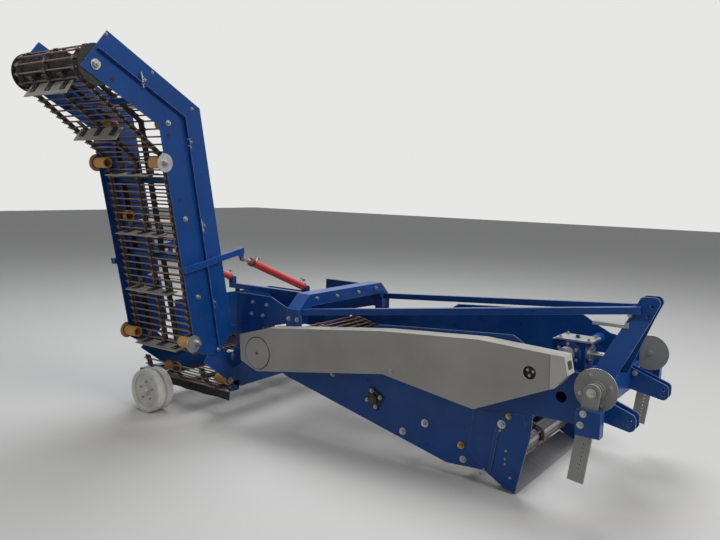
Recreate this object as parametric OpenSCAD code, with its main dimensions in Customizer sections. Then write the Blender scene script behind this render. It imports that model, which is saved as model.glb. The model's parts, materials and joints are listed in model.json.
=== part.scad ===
// Mounted potato harvester: a digging web feeds a cross conveyor, whose folding elevator stands at the right.
// Forward is +X, the machine's left is +Y and the ground is Z = 0. All sizes are in millimetres.
// Tables give places as [across, height]: across is X for the digging unit and Y for conveyor and elevator.

/* [Digging unit] */
// Width over the two side plates
unit_w = 1000; // [960:10:1040]
// Thickness of the side plates
plate_t = 8; // [6:1:10]
// Length of the share from its edge to its back
share_len = 140; // [110:5:150]
// Thickness of the share
share_t = 10; // [8:1:12]
// Slope of the share
share_angle = 23; // [20:1:26]

/* [Digging web] */
// Distance of the nose roller behind the share edge
nose_x = 110; // [105:5:130]
// Height of the nose roller
nose_z = 165; // [160:5:180]
// Radius of the nose roller
nose_r = 45; // [40:1:48]
// Distance of the web's drive shaft behind the share edge
drive_x = 1752; // [1730:2:1760]
// Height of the web's drive shaft
drive_z = 503; // [490:1:510]
// Radius of the web's drive wheels
drive_r = 84; // [74:2:88]
// Radius of the carrier rollers
carrier_r = 30; // [24:1:34]
// Radius of the roller shafts
shaft_r = 12; // [10:1:15]
// Gap between the digging web and the side plates
web_gap = 22; // [16:1:40]
// Length of a carrier roller
roller_l = 100; // [60:5:140]

/* [Rod webs] */
// Diameter of a web rod
rod_d = 11; // [9:1:12]
// Distance between web rods
rod_pitch = 48; // [44:1:60]
// Width of a web belt
belt_w = 50; // [40:5:60]
// Thickness of a web belt
belt_t = 8; // [6:1:9]
// Clearance between parts that seat on each other
seat = 0.3; // [0.2:0.1:0.5]

/* [Headstock] */
// Distance of the front beam's front face ahead of the share edge
beam_x = 330; // [320:2:340]
// Depth of the front beam
beam_d = 80; // [70:5:85]
// Height of the front beam's lower face
beam_z = 450; // [440:5:460]
// Height of the front beam's section
beam_h = 140; // [130:5:150]
// Wall of the front beam
beam_wall = 8; // [6:1:10]
// Distance between the two lower link points
link_spread = 683; // [670:1:700]
// Distance of the lower link pins ahead of the share edge
link_x = 516; // [505:1:530]
// Height of the upper pair of lower link pins
link_z = 490; // [480:2:500]
// Distance between the two pairs of lower link pins
link_step = 32; // [30:1:40]
// Radius of the lower link holes
link_hole_r = 11.25; // [11:0.25:12]
// Gap between the two plates of a lower link bracket
link_gap = 52; // [48:1:56]
// Thickness of the lower link plates
link_t = 12; // [10:1:14]
// Radius of the rounded ends of the lower link plates
link_end_r = 30; // [28:1:34]
// Radius of the top link holes
top_hole_r = 9.75; // [9.5:0.25:12]
// Gap between the mast plates
mast_gap = 60; // [54:2:66]
// Thickness of the mast plates
mast_t = 12; // [10:1:14]

/* [Drive] */
// Distance of the gearbox centre ahead of the share edge
gear_x = 88; // [80:1:95]
// Height of the gearbox shafts
gear_z = 700; // [696:1:704]
// Radius of the input shaft
input_r = 17.45; // [17:0.05:18]
// Free length of the input shaft
input_len = 80; // [70:5:90]
// Width of the chain guard
guard_w = 108; // [95:1:115]
// Gap between the side plate and the chain guard
guard_gap = 14; // [13:1:18]
// Thickness of the chain guard's sheet
guard_t = 4; // [3:1:6]

/* [Coulters] */
// Radius of a coulter disc
disc_r = 106; // [96:2:110]
// Thickness of a coulter disc
disc_t = 5; // [4:1:6]
// Width of a coulter shank
shank_w = 80; // [70:2:84]
// Thickness of a coulter shank
shank_t = 14; // [12:1:15]
// Length of a coulter shank from its foot to the disc bolt
shank_len = 458; // [440:2:464]
// Forward lean of the shanks
shank_lean = 7; // [5:0.5:9]

/* [Cross conveyor] */
// Distance of the elevator's front face behind the share edge
lift_x = 2080; // [2076:2:2084]
// Width over the elevator's two side frames
lift_w = 680; // [670:2:690]
// Thickness of the elevator and conveyor plates
frame_t = 6; // [5:1:7]
// Side gap between the conveyor's plates and the elevator's frames
fold_gap = 6; // [5.5:0.5:7]
// Gap between the elevator's web and the outer faces of its side frames
lift_web_gap = 25; // [22:1:40]
// Height of the lower run of the cross web
low_run_z = 200; // [196:1:204]
// Height of the upper run of the cross web
top_run_z = 360; // [356:1:364]

/* [Elevator] */
// Distance of the fold pivot right of the centre plane
pivot_y = 670; // [668:1:672]
// Height of the fold pivot
pivot_z = 486; // [484:1:488]
// Length of the steep lower leg
leg_len = 1497; // [1490:1:1505]
// Lean of the lower leg from upright
leg_lean = 10.8; // [10.5:0.1:11]
// Length of the upper leg
head_len = 666; // [660:1:672]
// Rise of the upper leg above level
head_rise = 27.8; // [27:0.1:28.5]
// Height of a flight
flight_h = 92; // [70:2:96]
// Width of a flight
flight_w = 420; // [380:5:440]

/* [Lift cylinders] */
// Outer radius of a cylinder barrel
barrel_r = 26; // [24:1:28]
// Radius of a cylinder rod
piston_r = 14; // [12:1:16]
// Distance of the barrel pins left of the centre plane
anchor_y = 180; // [178:1:182]
// Height of the barrel pins
anchor_z = 818; // [816:1:820]
// Distance of the rod pins right of the centre plane
eye_y = 470; // [468:1:472]
// Height of the rod pins
eye_z = 1084; // [1082:1:1086]
// Radius of the cylinder pins
pin_r = 10; // [8:1:12]

/* [Gauge wheels] */
// Radius of a gauge wheel
wheel_r = 150; // [146:1:154]
// Width of a gauge wheel
wheel_w = 126; // [110:2:130]
// Distance of the wheel axles behind the share edge
wheel_x = 2570; // [2560:2:2580]
// Distance of a wheel's middle from the centre plane
wheel_y = 816; // [816:1:830]

/* [Hidden] */
$fn = 48;

// Paint and metal colours
blue = [0.05, 0.14, 0.42];
bare = [0.72, 0.73, 0.74];
brown = [0.33, 0.24, 0.19];
dark = [0.12, 0.12, 0.12];
grey = [0.56, 0.55, 0.51];
orange = [0.75, 0.48, 0.16];
red = [0.75, 0.08, 0.07];
pale = [0.78, 0.78, 0.75];

half_w = unit_w / 2;
inner_w = half_w - plate_t;
rod_r = rod_d / 2;
belt_half = belt_t / 2;
// Distance of a rod's middle and of its outer side from the middle of the belt
rod_off = belt_half + seat + rod_r;
rod_out = rod_off + rod_r;
// Radius that a path takes round a roller that touches the rods instead of the belts
over_rods = rod_out + seat;

// Round wheels, paths and outlines

// A path or outline runs counterclockwise round wheels.
// Columns of a wheel: across, height, radius, side (1 left of the path, -1 right). Radius 0 is a plain corner.
function turn_left(a) = [-sin(a), cos(a)];
function wrap(a) = a < 0 ? wrap(a + 360) : a >= 360 ? a - 360 : a;
function link_dir(a, b) =
    let (d = [b[0] - a[0], b[1] - a[1]], k = b[3] * b[2] - a[3] * a[2])
    atan2(d[1], d[0]) - asin(k / norm(d));
function touch(w, a) = [w[0], w[1]] - w[3] * w[2] * turn_left(a);
// Corners of the line round a wheel. The line lies outside the wheel and touches it between its corners.
function wheel_arc(w, from, to, fine) =
    let (sweep = w[3] > 0 ? wrap(to - from) : -wrap(from - to), steps = max(1, ceil(abs(sweep) / fine)),
         outer = [w[0], w[1], w[2] / cos(sweep / steps / 2), w[3]])
    w[2] == 0 ? [[w[0], w[1]]] : [for (i = [0.5:steps]) touch(outer, from + sweep * i / steps)];
// Closed path round all wheels
function loop_path(ws, fine = 15) =
    let (n = len(ws))
    [for (i = [0:n - 1])
        each wheel_arc(ws[i], link_dir(ws[(i + n - 1) % n], ws[i]), link_dir(ws[i], ws[(i + 1) % n]), fine)];
// Path from where it leaves the first wheel to where it meets the last one
function open_path(ws, fine = 15) =
    let (n = len(ws))
    concat([touch(ws[0], link_dir(ws[0], ws[1]))],
        [for (i = [1:n - 2])
            each wheel_arc(ws[i], link_dir(ws[i - 1], ws[i]), link_dir(ws[i], ws[i + 1]), fine)],
        [touch(ws[n - 1], link_dir(ws[n - 2], ws[n - 1]))]);
function run_lengths(p, closed) =
    [for (i = 0, s = 0; i < len(p) + (closed ? 1 : 0);
        s = s + norm(p[(i + 1) % len(p)] - p[i % len(p)]), i = i + 1) s];
function heading(p, i) = let (d = p[(i + 1) % len(p)] - p[i]) atan2(d[1], d[0]);
// Line at distance h to the left of an open or closed path
function side_points(p, h, closed) =
    let (n = len(p))
    [for (i = [0:n - 1])
        let (a = (i == 0 && !closed) ? heading(p, 0) : heading(p, (i + n - 1) % n),
             b = (i == n - 1 && !closed) ? a : heading(p, i),
             half = (wrap(b - a + 180) - 180) / 2)
        p[i] + turn_left(a + half) * h / cos(half)];
// Place at length s along a path, as [across, height, direction]
function along(p, cum, s) =
    let (i = [for (j = [0:len(cum) - 2]) if (cum[j] <= s && s <= cum[j + 1]) j][0], a = heading(p, i))
    [p[i][0] + (s - cum[i]) * cos(a), p[i][1] + (s - cum[i]) * sin(a), a];

// Solids placed in the machine

// A flat shape of [X, Z] points, from y on, t thick
module across_y(y, t) { translate([0, y + t, 0]) rotate([90, 0, 0]) linear_extrude(t) children(); }
// A flat shape of [Y, Z] points, from x on, t thick
module across_x(x, t) { translate([x, 0, 0]) rotate([90, 0, 90]) linear_extrude(t) children(); }
// Round bars along Y and along X, between two places
module rod_y(x, z, r, from, to) { translate([x, to, z]) rotate([90, 0, 0]) cylinder(r = r, h = to - from); }
module rod_x(y, z, r, from, to) { translate([from, y, z]) rotate([0, 90, 0]) cylinder(r = r, h = to - from); }
module tube_y(x, z, r, bore, from, to) {
    difference() { rod_y(x, z, r, from, to); rod_y(x, z, bore, from - 1, to + 1); }
}
module tube_x(y, z, r, bore, from, to) {
    difference() { rod_x(y, z, r, from, to); rod_x(y, z, bore, from - 1, to + 1); }
}
module box(from, to) { translate(from) cube(to - from); }
// A square tube between two corners that runs along one axis (0 for X, 1 for Y, 2 for Z)
module box_tube(from, to, axis, wall) {
    difference() {
        box(from, to);
        box([for (i = [0:2]) i == axis ? from[i] - 1 : from[i] + wall],
            [for (i = [0:2]) i == axis ? to[i] + 1 : to[i] - wall]);
    }
}
// The piece itself at the left and its mirror image at the right
module both_sides() { children(); mirror([0, 1, 0]) children(); }
// The piece itself at the elevator's front and its mirror image at its rear
lift_mid = -lift_x - lift_w / 2;
module front_and_rear() {
    children();
    translate([lift_mid, 0, 0]) mirror([1, 0, 0]) translate([-lift_mid, 0, 0]) children();
}

module belt_outline(p, closed) {
    if (closed)
        difference() {
            polygon(side_points(p, -belt_half, true));
            polygon(side_points(p, belt_half, true));
        }
    else {
        left = side_points(p, belt_half, false);
        polygon(concat(side_points(p, -belt_half, false), [for (i = [len(p) - 1:-1:0]) left[i]]));
    }
}

// A web is drawn flat: its path is in X and Y and its width w along Z
module belts(p, closed, w) {
    color(dark) for (z = [0.2 * belt_w, (w - belt_w) / 2, w - 1.2 * belt_w])
        translate([0, 0, z]) linear_extrude(belt_w) belt_outline(p, closed);
}
// Number of rods on a web, their step and the place of the first one
function rod_row(p, closed) =
    let (cum = run_lengths(p, closed), total = cum[len(cum) - 1],
         count = closed ? round(total / rod_pitch) : floor((total - 2 * rod_d) / rod_pitch) + 1,
         step = closed ? total / count : rod_pitch)
    [count, step, closed ? 0 : (total - (count - 1) * step) / 2];
module rods(p, closed, w) {
    cum = run_lengths(p, closed);
    row = rod_row(p, closed);
    color(brown) for (k = [0:row[0] - 1]) {
        at = along(p, cum, row[2] + k * row[1]);
        off = [at[0], at[1]] - turn_left(at[2]) * rod_off;
        translate([off[0], off[1], 0]) rotate(at[2]) cylinder(r = rod_r, h = w, $fn = 5);
    }
}

// Digging unit

tube_at = [211, 573];
tube_r = 36;
plate_outline = [
    [-6, 5], [40, 221], [62, 315], [71, beam_z], [beam_x, beam_z], [beam_x, 705], [150, 735], [60, 780],
    [-60, 850], [-900, 790], [-1040, 700], [-1620, 660], [-1830, 575], [-1830, 470], [-1623, 355],
    [-418, 73], [-180, 88], [-60, 20]
];
// Shoe plate that is bent round the front lower corner of each side plate
shoe_outline = [[-6, 5], [40, 221], [62, 315], [20, 440], [-262, 412], [-287, 187], [-180, 88], [-60, 20]];
flange_at = [-910, 343];

// Side s is -1 at the right and 1 at the left
module side_plate(s) {
    color(blue) difference() {
        union() {
            across_y(s > 0 ? inner_w : -half_w, plate_t) polygon(plate_outline);
            across_y(s > 0 ? half_w - 1 : -half_w - 4, 5) polygon(shoe_outline);
        }
        rod_y(tube_at[0], tube_at[1], tube_r - 6, s > 0 ? 480 : -520, s > 0 ? 520 : -480);
        if (s < 0) {
            rod_y(-drive_x, drive_z, 16, -half_w - 20, -inner_w + 20);
            rod_y(gear_x, gear_z, 22, -half_w - 20, -inner_w + 20);
        }
    }
    // Flange bearing of the middle carrier
    color(dark) translate([flange_at[0], s * (half_w + 7), flange_at[1]]) rotate([90, 27, 0]) {
        cube([98, 98, 14], center = true);
        rotate([s > 0 ? 180 : 0, 0, 0]) cylinder(r = 30, h = 24);
    }
}

module share() {
    color(bare) across_y(-inner_w, 2 * inner_w) polygon([
        [0, 0], [-share_len * cos(share_angle), share_len * sin(share_angle)],
        [-share_len * cos(share_angle) - 3, share_len * sin(share_angle) - share_t], [-26, 0]
    ]);
}

// Shelf of the gearbox, above the cross tube
shelf_y = 90;
shelf_z = gear_z - 85;
module front_beam() {
    color(blue) {
        box_tube([beam_x - beam_d, -inner_w, beam_z], [beam_x, inner_w, beam_z + beam_h], 1, beam_wall);
        tube_y(tube_at[0], tube_at[1], tube_r, tube_r - 6, -inner_w, inner_w);
        difference() {
            union() {
                box([-10, -shelf_y, shelf_z - 12], [beam_x, shelf_y, shelf_z]);
                for (y = [-shelf_y, shelf_y - 12])
                    box([beam_x - beam_d, y, beam_z + beam_h - 1], [beam_x, y + 12, shelf_z - 1]);
                box([beam_x - beam_d - 4, -60, tube_at[1] - 20], [beam_x - beam_d + 1, 60, tube_at[1] + 20]);
            }
            rod_y(tube_at[0], tube_at[1], tube_r - 3, -shelf_y - 1, shelf_y + 1);
        }
    }
}

link_outline = loop_path([
    [beam_x, beam_z + 12, 0, 1], [link_x, link_z - link_step, link_end_r, 1],
    [link_x, link_z, link_end_r, 1], [beam_x, beam_z + beam_h, 0, 1]
]);
module lower_link_left() {
    color(blue) difference() {
        for (d = [-link_gap / 2 - link_t, link_gap / 2])
            across_y(link_spread / 2 + d, link_t) polygon(link_outline);
        for (z = [link_z, link_z - link_step]) rod_y(link_x, z, link_hole_r, 250, 450);
    }
}
module lower_link_right() { mirror([0, 1, 0]) lower_link_left(); }

// Upright edges of the mast, seen from the side, and its plate at the left, seen from the front
mast_outline = loop_path([
    [beam_x - beam_d, beam_z + beam_h, 0, 1], [357, beam_z + beam_h, 0, 1], [513, 1026, 30, 1],
    [463, 1030, 24, 1], [250, 640, 0, 1]
]);
mast_in = mast_gap / 2;
mast_strip = [
    [mast_in, 1080], [mast_in, 925], [150, beam_z + beam_h], [150 + mast_t, beam_z + beam_h],
    [mast_in + mast_t, 925], [mast_in + mast_t, 1080]
];
top_holes = [[489, 954], [505, 1006]];
module mast() {
    color(blue) {
        difference() {
            both_sides() intersection() {
                across_y(0, 200) polygon(mast_outline);
                across_x(200, 400) polygon(mast_strip);
            }
            for (p = top_holes) rod_y(p[0], p[1], top_hole_r, -100, 100);
        }
        rod_y(420, 930, 14, -mast_in, mast_in);
    }
}

// Rails from the arch beam to the mast. Places are [x, y, z] of the rail's middle.
rail_back = [-1500, 470, 785];
rail_front = [450, 60, 985];
module upper_rails() {
    d = rail_front - rail_back;
    color(blue) both_sides() intersection() {
        translate(rail_back) rotate([0, -atan2(d[2], norm([d[0], d[1]])), atan2(d[1], d[0])])
            translate([-60, -18, -19]) cube([norm(d) + 120, 36, 38]);
        box([rail_back[0], mast_in + mast_t, 600], [rail_front[0], 600, 1200]);
    }
}

arch_x = -1600;
arch_top = [[512, 705], [512, 800], [410, 890], [-410, 890], [-512, 800], [-512, 705]];
arch_low = [[-432, 705], [-432, 770], [-385, 812], [385, 812], [432, 770], [432, 705]];
module arch_beam() {
    color(blue) {
        across_x(arch_x, 100) polygon(concat(arch_top, arch_low));
        both_sides() box([arch_x - 10, half_w, 610], [arch_x + 110, half_w + 12, 760]);
    }
}

module gearbox() {
    color(blue) {
        box([gear_x - 95, -70, shelf_z], [gear_x + 95, 70, shelf_z + 157]);
        rod_y(gear_x, gear_z, 70, -90, 90);
    }
    color(bare) {
        box([gear_x - 75, -80, shelf_z + 157], [gear_x + 130, 80, shelf_z + 167]);
        rod_x(0, gear_z, 55, gear_x + 94, gear_x + 110);
        rod_x(0, gear_z, input_r, gear_x + 109, gear_x + 110 + input_len);
    }
}

module cross_shaft() {
    color(bare) {
        rod_y(gear_x, gear_z, 20, -half_w - guard_gap - guard_w + 18, -90);
        rod_y(gear_x, gear_z, 42, -150, -90);
    }
    color(blue) rod_y(gear_x, gear_z, 30, 90, inner_w);
    color(dark) rod_y(gear_x, gear_z, 31, -half_w - guard_gap - guard_w + 10, -half_w - guard_gap - 30);
}

guard_y = half_w + guard_gap;
guard_outline = [
    [-1916, 604], [-1905, 431], [-1759, 382], [-785, 537], [-209, 452], [220, 647], [275, 717], [255, 806],
    [-193, 825], [-794, 784], [-1666, 679]
];
module chain_guard() {
    color(grey) {
        difference() {
            across_y(-guard_y - guard_w, guard_w) polygon(guard_outline);
            across_y(-guard_y - guard_w + guard_t, guard_w) polygon(side_points(guard_outline, guard_t, true));
            rod_y(gear_x, gear_z, 34, -guard_y - guard_w - 1, -guard_y);
        }
        for (p = [[-1560, 560], [-600, 640]]) rod_y(p[0], p[1], 12, -guard_y - guard_w + guard_t - 1, -half_w);
    }
}
// Round cover over the end of the web's drive shaft, with a step behind its rim
cover_r = 100;
module guard_cover() {
    face = -guard_y - guard_w;
    color(grey) {
        rod_y(-drive_x, drive_z, cover_r - 6, face - 3, face);
        rod_y(-drive_x, drive_z, cover_r, face - 7, face - 3);
    }
}

web_w = 2 * (inner_w - web_gap);
nose = [-nose_x, nose_z, nose_r + belt_half, 1];
drive = [-drive_x, drive_z, drive_r + belt_half, 1];
// Direction of the upper run and height of its middle line
top_dir = link_dir(nose, drive);
function carrying_z(x) = let (t = touch(nose, top_dir)) t[1] + (x - t[0]) * tan(top_dir);
carrier_at = [-346, -556, -910, -1221];
function carrier_z(x) = carrying_z(x) - (carrier_r + belt_half + seat) / abs(cos(top_dir));
under_roller = [-703, 188];
front_roller = [-320, 119];
roller_r = 26;
// Length of a drive wheel of the webs
wheel_l = 70;
digging_path = loop_path([
    nose, drive, [under_roller[0], under_roller[1], roller_r + over_rods, -1],
    [front_roller[0], front_roller[1], roller_r + belt_half, 1]
], 24);

module digging_place() { translate([0, web_w / 2, 0]) rotate([90, 0, 0]) children(); }
module digging_belts() { digging_place() belts(digging_path, true, web_w); }
module digging_rods() { digging_place() rods(digging_path, true, web_w); }

module digging_rollers() {
    color(bare) {
        rod_y(-nose_x, nose_z, nose_r - seat, -web_w / 2 + 20, web_w / 2 - 20);
        rod_y(-drive_x, drive_z, 15, -guard_y - 40, inner_w);
        rod_y(-nose_x, nose_z, shaft_r, -inner_w, inner_w);
    }
    color(dark) for (y = [-web_w / 2 + 8, -wheel_l / 2, web_w / 2 - 8 - wheel_l])
        rod_y(-drive_x, drive_z, drive_r - seat, y, y + wheel_l);
    color(orange) {
        for (x = carrier_at) {
            rod_y(x, carrier_z(x), shaft_r, -inner_w, inner_w);
            for (y = [5 - web_w / 2, web_w / 2 - 5 - roller_l]) rod_y(x, carrier_z(x), carrier_r, y, y + roller_l);
        }
        for (p = [under_roller, front_roller]) {
            rod_y(p[0], p[1], shaft_r, -inner_w, inner_w);
            for (y = [5 - web_w / 2, web_w / 2 - 5 - roller_l])
                rod_y(p[0], p[1], roller_r - seat, y, y + roller_l);
        }
    }
}

// Front and rear faces of the cross conveyor's plates
front_plate_x = -lift_x - frame_t - fold_gap - frame_t;
rear_plate_x = -lift_x - lift_w + frame_t + fold_gap + frame_t;
pivot = [-pivot_y, pivot_z];
lift_web_from = -lift_x - lift_w + lift_web_gap;
lift_web_to = -lift_x - lift_web_gap;
// Places of the three drive wheels across the web
web_wheels = [lift_web_from + 10, lift_mid - wheel_l / 2, lift_web_to - 10 - wheel_l];

// Rear links, cross conveyor and hopper

module hopper_sides() {
    color(blue) both_sides() across_y(inner_w - 6, 6) polygon([
        [-2078, 440], [-1840, 440], [-1840, 640], [arch_x, 700], [arch_x, 790], [-1760, 855], [-2078, 855]
    ]);
}

module hopper_back() {
    color(blue) {
        box([rear_plate_x - frame_t, -470, 441], [rear_plate_x, 566, 720]);
        box([rear_plate_x - 1, 560, 441], [front_plate_x + frame_t, 566, 720]);
    }
}

far_roller = [520, 280];
belly = [-560, 390, 190, 1];
hold_down = [-494, 409];
hold_down_r = hold_down[1] - top_run_z;
cross_path = open_path([
    [belly[0] - belly[2] - 1, belly[1] - 28, 0, 1], belly, [far_roller[0], far_roller[1], (top_run_z - low_run_z) / 2, 1],
    [hold_down[0], hold_down[1], hold_down_r, -1], [pivot[0] + 10, pivot[1] - 4, 50, -1]
], 24);
lift_web_w = lift_web_to - lift_web_from;
module lift_web_place() { translate([lift_web_from, 0, 0]) rotate([90, 0, 90]) children(); }
module cross_belts() { lift_web_place() belts(cross_path, false, lift_web_w); }
module cross_rods() { lift_web_place() rods(cross_path, false, lift_web_w); }

cross_outline = loop_path([
    [620, 190, 0, 1], [620, 400, 0, 1], [560, 440, 0, 1], [-560, 440, 0, 1], [pivot[0], pivot[1], 34, 1],
    [-774, 410, 0, 1], [-500, 205, 0, 1], [-434, 180, 0, 1]
]);
// A cross plate with its pivot pin. The pin runs from the plate at x to pin_end.
module cross_plate(x, pin_from, pin_to) {
    color(blue) {
        across_x(x, frame_t) polygon(cross_outline);
        rod_x(pivot[0], pivot[1], 12, pin_from, pin_to);
    }
}
module cross_plate_front() { cross_plate(front_plate_x, front_plate_x, -lift_x + 14); }
module cross_plate_rear() {
    cross_plate(rear_plate_x - frame_t, -lift_x - lift_w - 14, rear_plate_x);
}

// Links from the side plates to the front cross plate, cut back round the washer of the hold-down roller
washer_r = 38;
module rear_links() {
    face = front_plate_x + frame_t;
    foot_z = hold_down[1] - washer_r - 3;
    color(blue) both_sides() across_y(half_w, 12) polygon([
        [face, foot_z - 48], [face + 100, 380], [-1700, 380], [-1700, 480], [face + 6, 480],
        [face + 6, foot_z], [face, foot_z]
    ]);
}

bottom_roller = [-541, 243];
module cross_rollers() {
    in_front = front_plate_x;
    in_rear = rear_plate_x;
    far_r = (top_run_z - low_run_z) / 2 - belt_half;
    color(dark) for (x = web_wheels) rod_x(far_roller[0], far_roller[1], far_r - seat, x, x + wheel_l);
    color(bare) {
        rod_x(far_roller[0], far_roller[1], shaft_r, in_rear, in_front);
        rod_x(hold_down[0], hold_down[1], hold_down_r - over_rods, in_front - 52, in_front);
        rod_x(hold_down[0], hold_down[1], hold_down_r - over_rods, in_rear, in_rear + 52);
        rod_x(hold_down[0], hold_down[1], washer_r, in_front + frame_t, in_front + frame_t + 5);
    }
    color(orange) for (x = [in_rear, in_front - 110])
        tube_x(bottom_roller[0], bottom_roller[1], 35, 27, x, x + 110);
    color(blue) for (p = [[0, 280], [300, 280]]) rod_x(p[0], p[1], 20, in_rear, in_front);
}

rail_y = anchor_y;
rail_top = 780;
cyl_front = -2030;
cyl_rear = 2 * lift_mid - cyl_front;
module cylinder_rail() {
    post_front = front_plate_x + frame_t;
    post_rear = rear_plate_x - frame_t;
    color(blue) {
        difference() {
            union() {
                box_tube([cyl_rear - 20, rail_y - 20, rail_top - 40], [cyl_front + 20, rail_y + 20, rail_top], 0, 4);
                box([post_front, rail_y - 20, 400], [post_front + 12, rail_y + 20, rail_top - 39]);
                box([post_rear - 12, rail_y - 20, 400], [post_rear, rail_y + 20, rail_top - 39]);
            }
            box([post_rear - 0.5, rail_y - 30, 430], [post_rear + 1, rail_y + 30, 722]);
        }
        for (x = [cyl_front, cyl_rear], s = [-1, 1])
            difference() {
                union() {
                    across_x(x + s * 20 - 4, 8) polygon(loop_path([
                        [rail_y - 20, rail_top - 1, 0, 1], [rail_y + 20, rail_top - 1, 0, 1],
                        [rail_y, anchor_z, 19, 1]
                    ]));
                }
                rod_x(rail_y, anchor_z, pin_r - 1, x - 60, x + 60);
            }
    }
    color(bare) for (x = [cyl_front, cyl_rear]) rod_x(rail_y, anchor_z, pin_r, x - 24, x + 24);
}

module rubber_flap() {
    color(dark) box([lift_web_from, -533, 95], [lift_web_to, -527, 170]);
    color(blue) {
        box([rear_plate_x, -527, 158], [front_plate_x, -512, 178]);
        for (x = [rear_plate_x, front_plate_x - 6]) {
            box([x, -527, 158], [x + 6, -450, 200]);
            box([x, -500, 158], [x + 6, -450, 230]);
        }
    }
}

// Coulters

holder = [[322, 430], [440, 430], [440, 560], [322, 560]];
shank_bolt = [385, 645];
shank_y = 561;
// A shape drawn with the disc bolt at its origin, leaning forward with the shank
module lean() { translate([shank_bolt[0], 0, shank_bolt[1]]) rotate([0, shank_lean, 0]) children(); }
module shank_shape(grow) {
    r = shank_w / 2 + grow;
    across_y(shank_y - grow, shank_t + 2 * grow)
        polygon(loop_path([[-r, -shank_len, 0, 1], [r, -shank_len, 0, 1], [0, 0, r, 1]]));
}
module coulter_holders() {
    color(blue) both_sides() difference() {
        union() {
            box([322, 540, 430], [440, 596, 560]);
            box([300, half_w + 0.01, 440], [400, 541, 525]);
        }
        lean() shank_shape(seat);
    }
}
module coulter_shanks() {
    color(grey) both_sides() difference() {
        union() {
            lean() shank_shape(0);
            rod_y(shank_bolt[0], shank_bolt[1], 14, 515 - disc_t / 2 - 8, shank_y + 1);
            rod_y(shank_bolt[0], shank_bolt[1], 24, 515 + disc_t / 2 + 12, shank_y + 1);
            rod_y(shank_bolt[0], shank_bolt[1], 15, shank_y + shank_t - 1, shank_y + shank_t + 10);
        }
        lean() for (i = [0:7]) rod_y(8, -shank_len + 48 + 22 * i, 4, 500, 620);
    }
}
module coulter_disc() {
    color(grey) difference() {
        union() {
            rod_y(shank_bolt[0], shank_bolt[1], disc_r, 515 - disc_t / 2, 515 + disc_t / 2);
            rod_y(shank_bolt[0], shank_bolt[1], 34, 515 - disc_t / 2, 515 + disc_t / 2 + 11.5);
        }
        rod_y(shank_bolt[0], shank_bolt[1], 14.08, 480, 560);
    }
}
module coulter_disc_left() { coulter_disc(); }
module coulter_disc_right() { mirror([0, 1, 0]) coulter_disc(); }

// Gauge wheels

arm_y = wheel_y - wheel_w / 2 - 23;
module wheel_mount() {
    rear = rear_plate_x - frame_t;
    color(blue) {
        box_tube([rear - 50, -arm_y, 200], [rear, arm_y, 250], 1, 5);
        both_sides() {
            across_y(arm_y, 15) polygon(loop_path([
                [rear - 50, 200, 0, 1], [-wheel_x, wheel_r, 35, 1], [rear + 68, 250, 0, 1], [rear - 50, 250, 0, 1]
            ]));
        }
    }
    color(bare) both_sides() rod_y(-wheel_x, wheel_r, 12, arm_y + 14, wheel_y + wheel_w / 2 - 12);
}
module gauge_wheel() {
    w = wheel_w / 2;
    color(pale) translate([-wheel_x, wheel_y, wheel_r]) rotate([90, 0, 0]) rotate_extrude()
        polygon([
            [12.08, -w + 4], [34, -w + 4], [34, -w + 14], [118, -w + 14], [118, -w + 4], [132, -w],
            [wheel_r - 3, -w], [wheel_r, -w + 6], [wheel_r, -12], [wheel_r - 16, -6],
            [wheel_r - 16, 6], [wheel_r, 12], [wheel_r, w - 6], [wheel_r - 3, w], [132, w], [118, w - 4],
            [118, w - 14], [34, w - 14], [34, w - 4], [12.08, w - 4]
        ]);
}
module gauge_wheel_left() { gauge_wheel(); }
module gauge_wheel_right() { mirror([0, 1, 0]) gauge_wheel(); }

// Elevator. Places on it are given along a leg and off its flange line, towards the machine.

leg_t = [-sin(leg_lean), cos(leg_lean)];
leg_n = [cos(leg_lean), sin(leg_lean)];
head_t = [-cos(head_rise), sin(head_rise)];
head_n = [sin(head_rise), cos(head_rise)];
leg_foot = [-pivot_y, 513];
knee = leg_foot + leg_len * leg_t;
tip = knee + head_len * head_t;
function on_leg(s, off) = leg_foot + s * leg_t + off * leg_n;
function on_head(s, off) = knee + s * head_t + off * head_n;

run_off = -95.3;
stub_r = 36;
stub_l = 110;
stubs = [on_leg(362, run_off), on_leg(876, run_off), on_leg(leg_len - 29, run_off)];
head_shaft = on_head(head_len - 38, -75);
head_r = 90;
idler_r = 34;
idlers = [on_leg(80, -192.6), on_leg(leg_len - 252, -192.6)];

lift_path = open_path([
    [pivot[0], pivot[1], 50, -1],
    [stubs[2][0], stubs[2][1], stub_r + belt_half + seat, 1],
    [head_shaft[0], head_shaft[1], head_r + belt_half, 1],
    [idlers[1][0], idlers[1][1], idler_r + over_rods, -1],
    concat(on_leg(-25, -143), [0, 1])
], 24);

frame_outline = [
    on_leg(47, 152), on_leg(leg_len + 38, 142), on_head(head_len - 7, 123), on_head(head_len + 43, -140),
    on_leg(leg_len - 32, -188), on_leg(21, -179), [pivot[0] - 148, pivot[1] - 6], [pivot[0] - 20, pivot[1] - 31],
    [pivot[0] + 20, pivot[1] - 21]
];
front_in = -lift_x - frame_t;

// Square bar across a frame that carries a rod pin, at the elevator's front
arm_s = 575;
arm_ends = [-195, 323];
arm_d = 40;
module arm_bar() {
    from = on_leg(arm_s, arm_ends[0]);
    translate([-lift_x, from[0], from[1]]) rotate([leg_lean, 0, 0])
        translate([0, 0, -arm_d / 2]) cube([arm_d, arm_ends[1] - arm_ends[0], arm_d]);
}

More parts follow.
